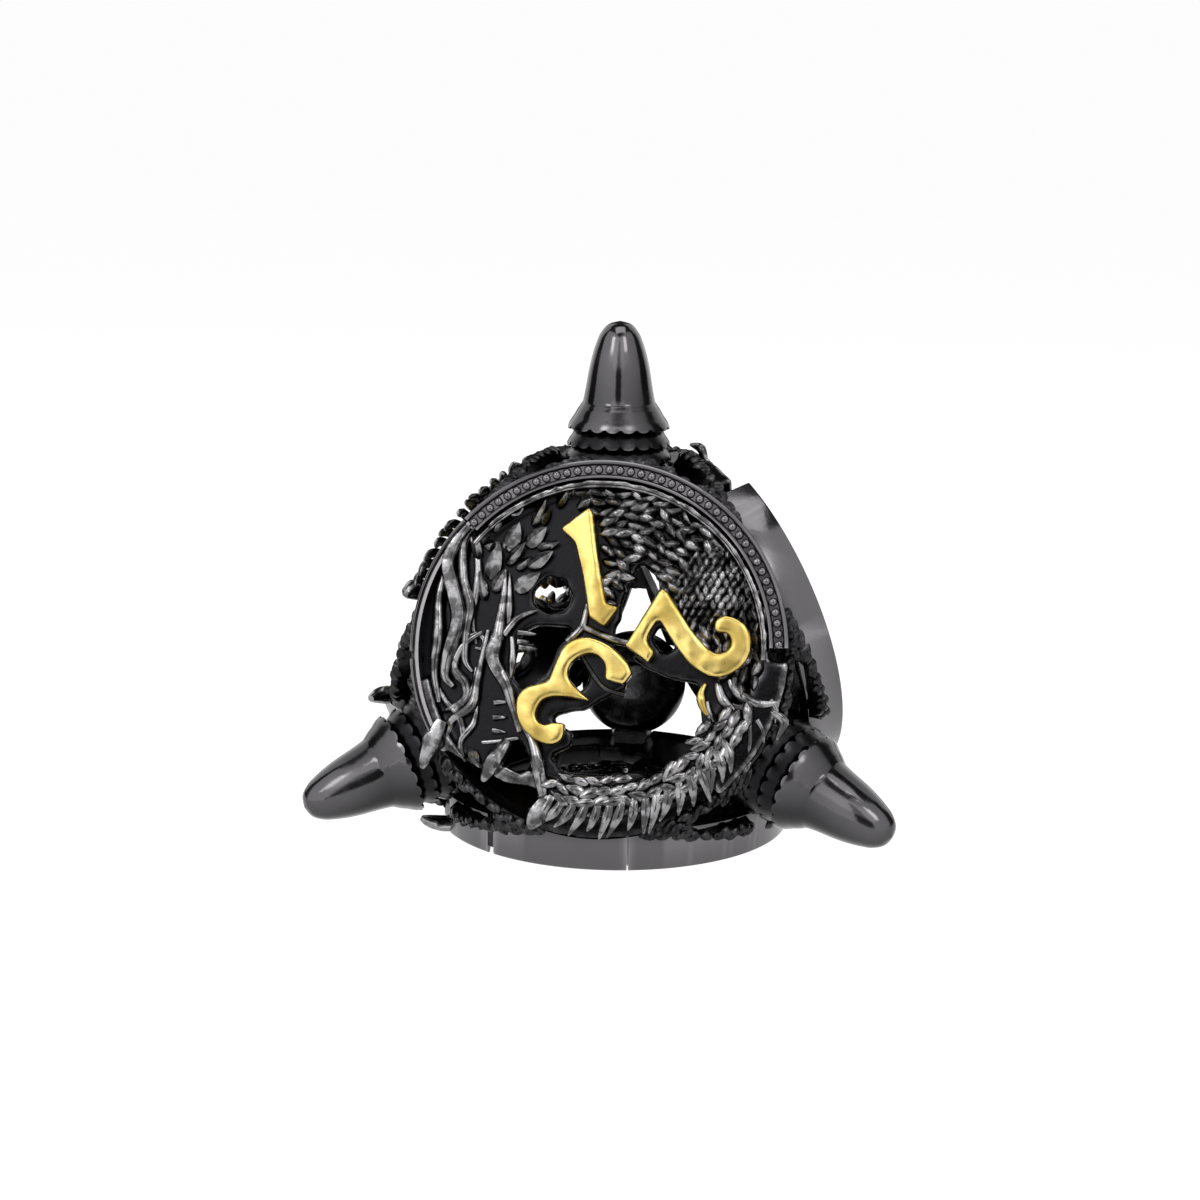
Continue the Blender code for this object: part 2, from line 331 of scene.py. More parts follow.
def strands(name, routes, thicken=1.0):
    """Round tapered strands along smooth routes, as one mesh.

    A route is (radius at the root, at the middle, at the tip, lift off the web, points).
    """
    curve = bpy.data.curves.new(name, "CURVE")
    curve.dimensions = "3D"
    curve.bevel_depth = 1.0
    curve.bevel_resolution = 2
    curve.use_fill_caps = True
    for root, middle, tip, lift, points in routes:
        line = flowing([point if len(point) == 3 else (*point, 0.0) for point in points], 6)
        spline = curve.splines.new("POLY")
        spline.points.add(len(line) - 1)
        for index, (spot, (x, y, z)) in enumerate(zip(spline.points, line)):
            t = index / (len(line) - 1)
            if t < 0.5:
                radius = root + (middle - root) * t * 2
            else:
                radius = middle + (tip - middle) * (t * 2 - 1) ** 1.3
            radius *= thicken
            spot.co = (x, y, WEB_TOP + lift + z + 0.75 * radius, 1.0)
            spot.radius = radius
    piece = bpy.data.objects.new(name, curve)
    bpy.context.collection.objects.link(piece)
    take(piece)
    bpy.ops.object.convert(target="MESH")
    piece = named(name)
    tidy_shell(piece, 1e-3)
    return piece


def scatter(name, model, places):
    """One piece made of copies of a model, one at each place."""
    builder = bmesh.new()
    for place in places:
        shape = model.data.copy()
        shape.transform(place)
        builder.from_mesh(shape)
        bpy.data.meshes.remove(shape)
    mesh = bpy.data.meshes.new(name)
    builder.to_mesh(mesh)
    builder.free()
    piece = bpy.data.objects.new(name, mesh)
    bpy.context.collection.objects.link(piece)
    return piece


def scale_model():
    """One scale: a low dome, round at its root and pointed at +Y, about 2 x 2 x 1."""
    bpy.ops.mesh.primitive_uv_sphere_add(segments=10, ring_count=5, radius=1.0)
    piece = named("scale_model")
    for vert in piece.data.vertices:
        x, y, z = vert.co
        vert.co.x = x * (1 - 0.55 * max(y, 0.0))
        vert.co.y = y * 1.15
        vert.co.z = z * 0.6 - 0.3 * abs(x)
    smooth(piece, 50.0)
    return piece


def leaf_model():
    """One leaf blade along +Y from 0 to 1, 1 wide, with a raised midrib and a sharp tip."""
    bpy.ops.mesh.primitive_uv_sphere_add(segments=4, ring_count=10, radius=1.0)
    piece = named("leaf_model")
    piece.data.transform(Matrix.Rotation(math.radians(-90), 4, "X"))
    for vert in piece.data.vertices:
        x, y, z = vert.co
        t = (y + 1) / 2
        ring = max(math.sqrt(max(1 - y * y, 0.0)), 1e-6)
        width = math.sin(math.pi * t**0.7) ** 0.8 if 0 < t < 1 else 0.0
        vert.co = (x / ring * width / 2, t, z / ring * width / 2)
    return piece


def aimed(x, y, z, turn, width, length, height, tilt=0.0):
    """Place of a scale or leaf: its +Y turned to a direction, its tip tilted up, and its size."""
    return (
        Matrix.Translation((x, y, z))
        @ Matrix.Rotation(turn - math.pi / 2, 4, "Z")
        @ Matrix.Rotation(tilt, 4, "X")
        @ Matrix.Diagonal((width, length, height, 1.0))
    )


def inside(x, y, outline):
    """Whether a point is inside an outline."""
    found = False
    for (x1, y1), (x2, y2) in zip(outline, outline[1:] + outline[:1]):
        if (y1 > y) != (y2 > y) and x < (x2 - x1) * (y - y1) / (y2 - y1) + x1:
            found = not found
    return found


# ---------------------------------------------------------------- finishes


class Wire:
    """A shader socket that Python's arithmetic adds Math nodes to."""

    def __init__(self, finish, socket):
        self.finish = finish
        self.socket = socket

    def maths(self, operation, first, second):
        return self.finish.node("ShaderNodeMath", {"operation": operation}, {0: first, 1: second})

    def __add__(self, other):
        return self.maths("ADD", self, other)

    __radd__ = __add__

    def __sub__(self, other):
        return self.maths("SUBTRACT", self, other)

    def __rsub__(self, other):
        return self.maths("SUBTRACT", other, self)

    def __mul__(self, other):
        return self.maths("MULTIPLY", self, other)

    __rmul__ = __mul__

    def larger(self, other):
        return self.maths("MAXIMUM", self, other)


class Finish:
    """A material's nodes round its Principled shader."""

    def __init__(self, name):
        self.material = bpy.data.materials.new(name)
        self.material.use_nodes = True
        self.tree = self.material.node_tree
        self.shader = self.tree.nodes["Principled BSDF"]

    def plug(self, socket, value):
        """Link a wire to a socket, or set the socket's own value."""
        if isinstance(value, Wire):
            self.tree.links.new(value.socket, socket)
        else:
            socket.default_value = value

    def node(self, kind, settings=None, sockets=None, output=0):
        """Add a node with its settings and its sockets' values or wires."""
        node = self.tree.nodes.new(kind)
        for key, value in (settings or {}).items():
            setattr(node, key, value)
        for key, value in (sockets or {}).items():
            self.plug(node.inputs[key], value)
        return Wire(self, node.outputs[output])

    def set(self, **values):
        """Set the shader's own sockets."""
        for key, value in values.items():
            self.plug(self.shader.inputs[key.replace("_", " ").title().replace("Ior", "IOR")], value)

    def mix(self, factor, first, second):
        """Blend two colours."""
        return self.node(
            "ShaderNodeMix", {"data_type": "RGBA"}, {"Factor": factor, 6: first, 7: second}, output=2
        )

    def place(self):
        """Object coordinates, in metres."""
        return self.node("ShaderNodeTexCoord", output=3)

    def noise(self, size, detail=2.0):
        """Noise about 0.5, with features of a size in metres."""
        return self.node(
            "ShaderNodeTexNoise", None, {"Vector": self.place(), "Scale": 1 / size, "Detail": detail}
        )

    def step(self, value, low, high):
        """A smooth step of a value from 0 at low to 1 at high."""
        sockets = {0: value, 1: low, 2: high, 3: 0.0, 4: 1.0}
        return self.node("ShaderNodeMapRange", {"interpolation_type": "SMOOTHSTEP"}, sockets)

    def ridge(self):
        """About 0.5 on flat metal, more on its ridges and less in its hollows."""
        return self.node("ShaderNodeNewGeometry", output=7)

    def bump(self, height, strength, distance):
        """A normal that follows a height."""
        return self.node(
            "ShaderNodeBump", None, {"Strength": strength, "Distance": distance, "Height": height}
        )

    def recess(self, low, high):
        """0 near the medallions' outer faces, 1 where the metal lies deeper than high."""
        outwards = None
        for medallion in MEDALLIONS:
            out = rest_mount(medallion)[1]
            along = self.node(
                "ShaderNodeVectorMath", {"operation": "DOT_PRODUCT"}, {0: self.place(), 1: out}, output=1
            )
            along = along - out.dot(DIE_CENTRE)
            outwards = along if outwards is None else outwards.larger(along)
        return self.step(FACE_DISTANCE - outwards, low, high)


def colour(values, factor=1.0):
    """A colour property times a factor, as four numbers."""
    return (*(part * factor for part in values), 1.0)


def build_gunmetal(name):
    """Polished black-nickel plate, a little cloudy, pale on its edges and black in its creases and deeper
    parts: that black is partly the antiqued blackening and partly painted shade.
    """
    looks = bpy.context.scene.dragon_die_finishes
    finish = Finish(name)
    cloud = finish.noise(0.0022, 3.0)
    dark = finish.recess(1.2 * MM, 2.6 * MM)
    base = finish.mix(cloud, colour(looks.gunmetal), colour(looks.gunmetal, 1.25))
    ridge = finish.ridge()
    base = finish.mix(finish.step(ridge, 0.53, 0.64), base, colour(looks.gunmetal, 2.4))
    # Painted shade, partly antiqued blackening: creases, and metal lying deeper below the faces, go black.
    hollow = 1 - finish.step(ridge, 0.38, 0.47)
    base = finish.mix((hollow * 0.85).larger(dark * 0.75), base, colour(looks.recess))
    bump = finish.bump(finish.noise(0.00025, 3.0), 0.06, 0.00006)
    finish.set(base_color=base, metallic=1.0, normal=bump)
    finish.set(roughness=looks.gunmetal_roughness + 0.10 * finish.step(cloud, 0.42, 0.65))
    return finish


def build_antiqued(name):
    """The same plate on the ornament, polished on its ridges and black off them and deep below the faces:
    that black is partly the antiqued blackening and partly painted shade.
    """
    looks = bpy.context.scene.dragon_die_finishes
    finish = Finish(name)
    worn = finish.step(finish.ridge(), 0.50, 0.56)
    dark = finish.recess(0.75 * MM, 1.0 * MM)
    patina = finish.step(finish.noise(0.0006, 3.0), 0.40, 0.60)
    plate = finish.mix(patina, colour(looks.ornament, 0.4), colour(looks.ornament, 1.5))
    # Off the ridges, and deep below the faces, the plate goes black: partly antiqued blackening, partly
    # painted shade.
    base = finish.mix(worn, colour(looks.recess), plate)
    base = finish.mix(dark * 0.9, base, colour(looks.recess))
    bump = finish.bump(finish.noise(0.0002, 3.0), 0.15, 0.00006)
    finish.set(base_color=base, metallic=1.0, normal=bump)
    finish.set(roughness=looks.ornament_roughness + 0.06 * dark)
    return finish


def build_gilt(name):
    """Pale gilt plate with a faintly hammered face, mottled at random, and painted shade that makes it
    browner where it lies deeper below the faces.
    """
    looks = bpy.context.scene.dragon_die_finishes
    finish = Finish(name)
    cloud = finish.noise(0.0012, 3.0)
    dark = finish.recess(0.25 * MM, 0.95 * MM)
    base = finish.mix(finish.step(cloud, 0.35, 0.7), colour(looks.gilt), colour(looks.gilt_shade))
    # Painted shade: the gilt goes browner and darker where it lies deeper below the medallions' faces.
    base = finish.mix(dark * 0.7, base, colour(looks.gilt_shade, 0.35))
    bump = finish.bump(finish.noise(0.0014, 1.0), 0.5, 0.0002)
    finish.set(base_color=base, metallic=1.0, normal=bump)
    finish.set(roughness=looks.gilt_roughness + 0.12 * finish.step(cloud, 0.4, 0.65))
    return finish


FINISHES = {"gunmetal": build_gunmetal, "gunmetal_antiqued": build_antiqued, "gilt": build_gilt}


def finish_of(slot):
    """A slot's modelled finish, built the first time that it is asked for.

    Its name differs from the slot's, which the frame's own plain material already has.
    """
    name = f"{slot}_finish"
    return bpy.data.materials.get(name) or FINISHES[slot](name).material


# ---------------------------------------------------------------- sizes and finishes a user would change


def size_property(name, description, default, low=0.01, high=5.0):
    """A length in millimetres."""
    return FloatProperty(name=name, description=description, default=default, min=low, max=high, precision=3)


def count_property(name, description, default, low, high):
    """A whole number."""
    return IntProperty(name=name, description=description, default=default, min=low, max=high)


def colour_property(name, description, default):
    """A metal's colour."""
    return FloatVectorProperty(
        name=name, description=description, default=default, min=0, max=1, size=3, subtype="COLOR"
    )


def roughness_property(name, description, default):
    """A metal's roughness."""
    return FloatProperty(name=name, description=description, default=default, min=0, max=1, subtype="FACTOR")


class DragonDieSizes(bpy.types.PropertyGroup):
    """Sizes of the ornament, in millimetres."""

    bead_pitch: size_property("Bead pitch", "Distance between the rim's beads, in mm", 0.54)
    bead_radius: size_property("Bead radius", "Radius of one rim bead, in mm", 0.25)
    groove_depth: size_property("Groove depth", "Depth of the rim's beaded groove, in mm", 0.24)
    teeth: count_property("Teeth", "Teeth round each tier and horn skirt", 20, 8, 40)
    notch: size_property("Notch", "Depth of the notches between the teeth, in mm", 0.24)
    scale_length: size_property("Scale length", "Length of a body scale, in mm", 0.80)
    scale_width: size_property("Scale width", "Width of a body scale, in mm", 0.58)
    numeral_rounding: count_property("Numeral rounding", "Smoothing passes that crown a numeral", 26, 0, 80)


class DragonDieFinishes(bpy.types.PropertyGroup):
    """Colours and roughness of the metals."""

    gunmetal: colour_property("Gunmetal", "Colour of the rims and horns", (0.090, 0.087, 0.090))
    gunmetal_roughness: roughness_property("Gunmetal roughness", "Roughness of the rims and horns", 0.12)
    ornament: colour_property("Ornament", "Colour of the ornament's ridges", (0.17, 0.167, 0.17))
    ornament_roughness: roughness_property("Ornament roughness", "Roughness of the ornament", 0.2)
    # The recess colour is partly the antiqued blackening and partly painted shade in creases and deep parts.
    recess: colour_property("Recess", "Colour of the blackened hollows", (0.012, 0.012, 0.013))
    gilt: colour_property("Gilt", "Colour of the numerals", (0.64, 0.49, 0.16))
    # Darkened, the gilt shade also gives the painted shade on the numerals' deeper parts.
    gilt_shade: colour_property("Gilt shade", "Darker tone of the numerals", (0.38, 0.27, 0.065))
    gilt_roughness: roughness_property("Gilt roughness", "Roughness of the numerals", 0.2)


class DragonDieOperator:
    """What the operators share."""

    bl_options = {"REGISTER", "UNDO"}

    @property
    def sizes(self):
        return bpy.context.scene.dragon_die_sizes


# ---------------------------------------------------------------- rims


class DRAGON_OT_rims(DragonDieOperator, bpy.types.Operator):
    """Model one beaded rim and fit a copy round each medallion"""

    bl_idname = "dragon_die.rims"
    bl_label = "Rims"

    def section(self):
        """The rim's cross-section: two fine lips with a groove between them, on a deep wall."""
        deep = -RIM_DEPTH
        floor = -self.sizes.groove_depth
        return [
            (RIM_RADIUS, deep), (RIM_RADIUS, -0.12), (RIM_RADIUS - 0.03, -0.03), (RIM_RADIUS - 0.1, 0.0),
            (RIM_RADIUS - 0.17, -0.03), (RIM_RADIUS - 0.22, -0.1), (RIM_RADIUS - 0.26, floor),
            (RIM_INNER + 0.26, floor), (RIM_INNER + 0.22, -0.1), (RIM_INNER + 0.17, -0.03),
            (RIM_INNER + 0.1, 0.0), (RIM_INNER + 0.03, -0.03), (RIM_INNER, -0.12), (RIM_INNER, deep),
        ]

    def wall_section(self):
        """The cross-section of the plain wall that goes on past the beads."""
        deep = -RIM_DEPTH
        return [
            (RIM_RADIUS, deep), (RIM_RADIUS, -0.14), (RIM_RADIUS - 0.04, -0.04), (RIM_RADIUS - 0.1, 0.0),
            (RIM_RADIUS - 0.16, -0.06), (RIM_RADIUS - 0.26, -0.5), (RIM_RADIUS - 0.4, deep),
        ]

    def stretch(self, name, section, start, end):
        """A cross-section swept from one angle to another and mitred against the other medallions."""
        first = math.radians(start)
        cos, sin = math.cos(first), math.sin(first)
        ring = loop_of(name, [(r * cos, r * sin, z) for r, z in section], fill="NGON")
        with editing(ring):
            steps, angle = round((end - start) / 1.4), math.radians(end - start)
            bpy.ops.mesh.spin(steps=steps, angle=-angle, center=(0, 0, 0), axis=(0, 0, 1))
        tidy_shell(ring)
        height = FACE_OUT - MITRE_GAP + 1.0
        bpy.ops.mesh.primitive_cone_add(
            vertices=3, radius1=0, radius2=height * 2 * math.sqrt(2), depth=height,
            location=(0, 0, 1.0 - height / 2),
        )
        trim(ring, named("wedge"), "INTERSECT")
        smooth(ring, 35.0)
        return ring

    def execute(self, context):
        ring = self.stretch("ring", self.section(), RIM_START, RIM_END)
        if max(vert.co.y for vert in ring.data.vertices) < RIM_RADIUS * 0.9:
            raise RuntimeError("the rim was spun the wrong way round")
        wall = self.stretch("wall", self.wall_section(), RIM_END + 0.5, WALL_END)
        lobe = self.stretch("lobe", self.wall_section(), LOBE_START, LOBE_END)
        inner, outer = RIM_RADIUS - 0.38, RIM_RADIUS - 0.2
        strip = [(outer, -RIM_DEPTH), (outer, -0.3), (inner, -0.3), (inner, -RIM_DEPTH)]
        backing = self.stretch("backing", strip, RIM_END - 2.0, LOBE_END - 1.0)
        beads = self.beads(math.radians(RIM_START), math.radians(RIM_END - RIM_START))
        rim = join("rim_model", beads, backing, wall, lobe, ring)
        fit_copies(rim, MEDALLION_PLACES, "rim", "gunmetal", "rim")
        return {"FINISHED"}

    def beads(self, start, sweep):
        """The row of beads that lies in the groove."""
        middle = (RIM_RADIUS + RIM_INNER) / 2
        bpy.ops.mesh.primitive_uv_sphere_add(segments=10, ring_count=6, radius=self.sizes.bead_radius)
        row = named("beads")
        lift = -self.sizes.groove_depth + 0.03
        row.data.transform(Matrix.Translation((0, 0, lift)) @ Matrix.Diagonal((1.0, 0.9, 0.75, 1.0)))
        row.data.transform(Matrix.Rotation(start + 0.02, 4, "Z") @ Matrix.Translation((middle, 0, 0)))
        smooth(row, 60.0)
        steps = round(middle * sweep / self.sizes.bead_pitch)
        with editing(row):
            bpy.ops.mesh.spin(steps=steps, angle=0.04 - sweep, dupli=True, center=(0, 0, 0), axis=(0, 0, 1))
        return row


# ---------------------------------------------------------------- dragons

# Mane, brow, jaw and wing ribs: radius at root, middle and tip, lift off the web, and the route
MANE = (
    (0.22, 0.32, 0.12, 0.32, ((-6.9, 5.9), (-7.4, 5.2), (-7.8, 4.0), (-7.4, 2.5), (-7.1, 1.2), (-7.5, -0.6),
     (-7.6, -1.7), (-7.2, -2.2))),
    (0.16, 0.24, 0.08, 0.15, ((-6.6, 6.0), (-7.1, 5.1), (-7.0, 3.2), (-6.6, 1.9), (-6.7, 0.7), (-6.7, -0.8),
     (-6.3, -1.4))),
    (0.10, 0.22, 0.08, 0.20, ((-5.9, 0.6), (-6.9, -0.2), (-7.2, -1.3), (-6.6, -2.0), (-6.6, -2.8),
     (-7.5, -3.4))),
    (0.12, 0.22, 0.08, 0.10, ((-5.6, 0.7), (-6.0, -1.8), (-6.2, -3.1), (-7.2, -3.9), (-7.5, -5.0))),
    (0.14, 0.26, 0.10, 0.10, ((-7.9, 4.1), (-8.2, 2.2), (-8.1, 0.4), (-8.2, -1.4), (-7.9, -3.0))),
    (0.12, 0.20, 0.08, 0.00, ((-6.9, 5.6), (-6.4, 4.4), (-6.3, 3.0), (-6.5, 1.4), (-6.2, 0.0))),
    (0.10, 0.18, 0.06, 0.05, ((-8.0, -2.2), (-7.5, -3.0), (-6.9, -3.6), (-6.6, -4.6), (-6.9, -5.6))),
    (0.10, 0.17, 0.06, 0.00, ((-6.0, -3.0), (-6.1, -4.0), (-6.7, -4.9), (-6.4, -5.9))),
    (0.10, 0.20, 0.08, 0.05, ((-6.1, -1.2), (-6.2, -2.2), (-6.9, -3.2), (-7.2, -4.2))),
)
SPIKES = (
    (0.06, 0.42, 0.16, 0.25, ((-4.9, 3.8), (-4.9, 2.6), (-5.0, 1.3), (-5.1, 0.2), (-5.2, -0.8), (-4.5, -2.0),
     (-4.1, -3.1), (-3.7, -4.3))),
    (0.12, 0.40, 0.05, 0.25, ((-3.6, -4.0), (-3.0, -4.8), (-2.6, -6.1), (-2.3, -7.4), (-2.1, -8.0))),
    (0.05, 0.20, 0.10, 0.20, ((-4.7, 3.6), (-4.6, 2.0), (-4.6, 0.9))),
    (0.22, 0.18, 0.05, 0.20, ((-4.8, 0.5), (-4.1, 1.4), (-3.2, 1.8))),
    (0.16, 0.22, 0.06, 0.10, ((-4.4, 0.4), (-4.3, -0.8), (-4.4, -1.8))),
    (0.16, 0.14, 0.10, 0.10, ((-6.5, 0.4), (-6.1, 0.5), (-5.8, 0.2), (-5.9, -0.2), (-6.2, -0.2))),
    (0.12, 0.15, 0.10, 0.00, ((-5.6, -4.9), (-4.7, -4.8), (-3.8, -4.6))),
    (0.20, 0.22, 0.18, -0.05, ((-0.9, 1.1), (0.1, 0.7), (0.9, 0.45), (1.7, 0.3))),
    (0.20, 0.22, 0.16, -0.05, ((-1.6, 0.3), (-0.9, 1.1), (-0.7, 2.2))),
    (0.16, 0.18, 0.14, -0.25, ((-0.9, -0.3), (0.2, -1.8), (1.4, -2.2))),
    (0.12, 0.20, 0.14, 0.30, ((7.9, 4.2), (8.1, 2.9), (8.2, 1.6), (8.1, 0.6))),
    (0.10, 0.16, 0.10, 0.25, ((7.5, 4.6), (7.8, 3.2), (7.9, 1.9))),
)
CLAWS = (
    (0.20, 0.30, 0.14, 0.10, ((6.0, -1.5), (6.3, -2.3), (7.1, -3.0))),
    (0.20, 0.30, 0.12, 0.15, ((6.6, -1.3), (7.0, -1.9), (8.0, -2.4), (9.0, -2.3))),
    (0.16, 0.26, 0.08, 0.05, ((8.5, -2.7), (9.3, -3.2), (9.0, -4.1))),
    (0.14, 0.20, 0.04, 0.10, ((5.5, -2.4), (5.7, -3.1), (6.2, -3.7))),
    (0.18, 0.14, 0.03, 0.15, ((8.6, -2.2), (8.9, -2.6), (8.9, -3.3))),
    (0.18, 0.14, 0.03, 0.20, ((7.6, -3.2), (7.7, -4.3), (7.6, -5.3))),
    (0.16, 0.12, 0.03, 0.20, ((8.0, -3.2), (8.3, -3.7), (8.4, -4.3))),
    (0.18, 0.14, 0.03, 0.15, ((6.8, -3.6), (6.7, -4.6), (6.9, -5.6))),
)
# The rod and the two blunt fins that stand out beside the third corner
FINS = (
    (0.36, 0.54, 0.16, 0.30, ((-7.6, -4.0), (-8.0, -5.1), (-8.5, -6.3))),
    (0.34, 0.58, 0.18, 0.15, ((-2.1, -7.5), (-2.5, -8.3), (-2.9, -9.0))),
    (0.26, 0.50, 0.16, 0.15, ((-4.3, -4.8), (-4.9, -5.9), (-5.4, -6.8))),
)
CLAW_TIP = ((0.10, 0.24, 0.12, 0.20, ((5.4, -1.5), (5.2, -2.0), (5.3, -2.6), (5.6, -3.1))),)
# The tail's fringe of spines: first and last angle, and how many
FRINGE = (-34.0, -104.0, 17)
# The stout root under the claws, where the plate meets the hub
ROOT = ((1.0, 1.25, 1.0, -2.05, ((8.0, -4.6), (7.2, -4.15), (6.4, -3.7))),)
# Teeth: from root to tip
TEETH = (
    ((-4.1, 0.65), (-3.2, 0.62)), ((-4.0, -0.1), (-3.1, -0.12)), ((-4.1, 0.2), (-3.5, 0.2)),
    ((-5.1, -2.9), (-4.3, -2.8)), ((-5.1, -3.65), (-4.4, -3.6)), ((-5.1, -4.3), (-4.4, -4.35)),
)
# Leaf blades: root, tip and width
BLADES = (
    ((-4.9, 4.7), (-4.3, 6.2), 0.9), ((-4.0, 5.0), (-2.9, 6.0), 0.8), ((-3.7, 6.0), (-3.0, 7.4), 0.5),
    ((-3.2, 6.1), (-2.8, 7.1), 0.4), ((-5.7, 3.2), (-5.2, 5.1), 0.8), ((-4.9, 4.0), (-3.9, 5.2), 0.5),
    ((-3.8, 3.9), (-2.5, 4.8), 0.7), ((-4.4, 2.7), (-3.1, 3.7), 0.8), ((-5.5, 2.6), (-4.9, 3.8), 0.6),
    ((-6.1, 4.9), (-5.2, 5.2), 0.5), ((-2.5, 7.0), (-1.9, 8.0), 0.45), ((-1.9, 7.6), (-1.4, 8.2), 0.4),
    ((-1.3, 7.5), (-0.3, 8.3), 0.45), ((-4.4, 3.8), (-3.6, 4.5), 0.5), ((-5.9, 2.2), (-6.2, 3.7), 0.55),
    ((-6.3, 4.2), (-6.6, 5.6), 0.5), ((-5.6, 5.6), (-5.3, 6.5), 0.45), ((-3.4, 4.9), (-2.2, 5.3), 0.5),
    ((-6.2, -5.2), (-5.6, -6.2), 0.5), ((-7.3, -3.8), (-7.4, -4.8), 0.45), ((-5.2, 6.3), (-4.9, 7.0), 0.35),
)
BODY = (
    (-1.2, 8.0), (0.8, 8.1), (2.8, 7.7), (4.8, 6.6), (6.4, 5.1), (7.4, 3.5), (7.9, 1.6), (8.3, -0.4),
    (8.6, -1.9), (7.2, -1.7), (6.3, -1.3), (5.4, -0.4), (4.2, 1.4), (3.3, 2.8), (2.6, 4.2), (1.8, 4.8),
    (0.8, 2.6), (0.5, 1.5), (0.1, 2.2), (0.0, 4.6), (-0.3, 6.6), (-1.6, 7.0),
)
TAIL = (
    (5.4, -3.6), (4.2, -5.4), (2.6, -6.2), (0.4, -6.5), (-1.6, -6.5), (-2.4, -6.2), (-2.0, -7.9), (0.0, -8.0),
    (1.8, -7.9), (4.0, -7.3), (5.8, -6.3), (7.2, -4.9), (8.2, -3.4), (7.6, -2.6), (6.4, -2.8),
)
# More of the plate pierced away than the frame's own windows: round the numerals and left of the tail
OPENINGS = (
    ((-0.9, -3.3), (0.2, -2.5), (1.4, -1.9), (1.5, -0.8), (0.5, -0.1), (1.3, -0.1), (2.3, -0.8), (3.6, -1.3),
     (5.1, -1.5), (5.1, -3.0), (2.2, -3.4)),
    ((-2.3, -1.3), (-1.7, -0.5), (-0.9, -0.5), (-0.4, -1.1), (-0.6, -1.9), (-1.4, -2.5)),
    ((-7.3, -5.4), (-6.0, -6.1), (-4.2, -6.9), (-2.7, -7.0), (-2.6, -9.2), (-6.0, -9.0), (-8.6, -6.2)),
    ((0.7, -0.5), (0.7, 1.3), (1.3, 1.6), (2.0, 1.2), (2.4, 0.2), (1.4, -0.4)),
    ((1.5, -5.8), (3.0, -6.1), (4.9, -4.8), (4.3, -4.0), (2.0, -4.8)),
)
# Steps cut down into the plate: outer and inner radius, first and last angle, steps round, and height
PLATE_CUTS = (
    (8.1, 6.0, RIM_START - 10, RIM_END + 10, 50, WEB_TOP),  # inside the beads
    (8.6, 6.0, RIM_END - 3, 232, 40, WEB_TOP),  # under the mane
    (11.0, 8.35, RIM_END + 4, 192, 30, -1.4),  # outside the mane
    (11.0, 8.35, 230, 312, 30, -1.4),  # outside the fringe
    (9.6, 6.6, 188, 361, 60, -0.62),  # under the tail
)
PLATE_GRAIN = 0.17
NUMERAL_GRAIN = 0.08
HAUNCH = Vector((5.8, 3.1))
HAUNCH_RADIUS = 2.2


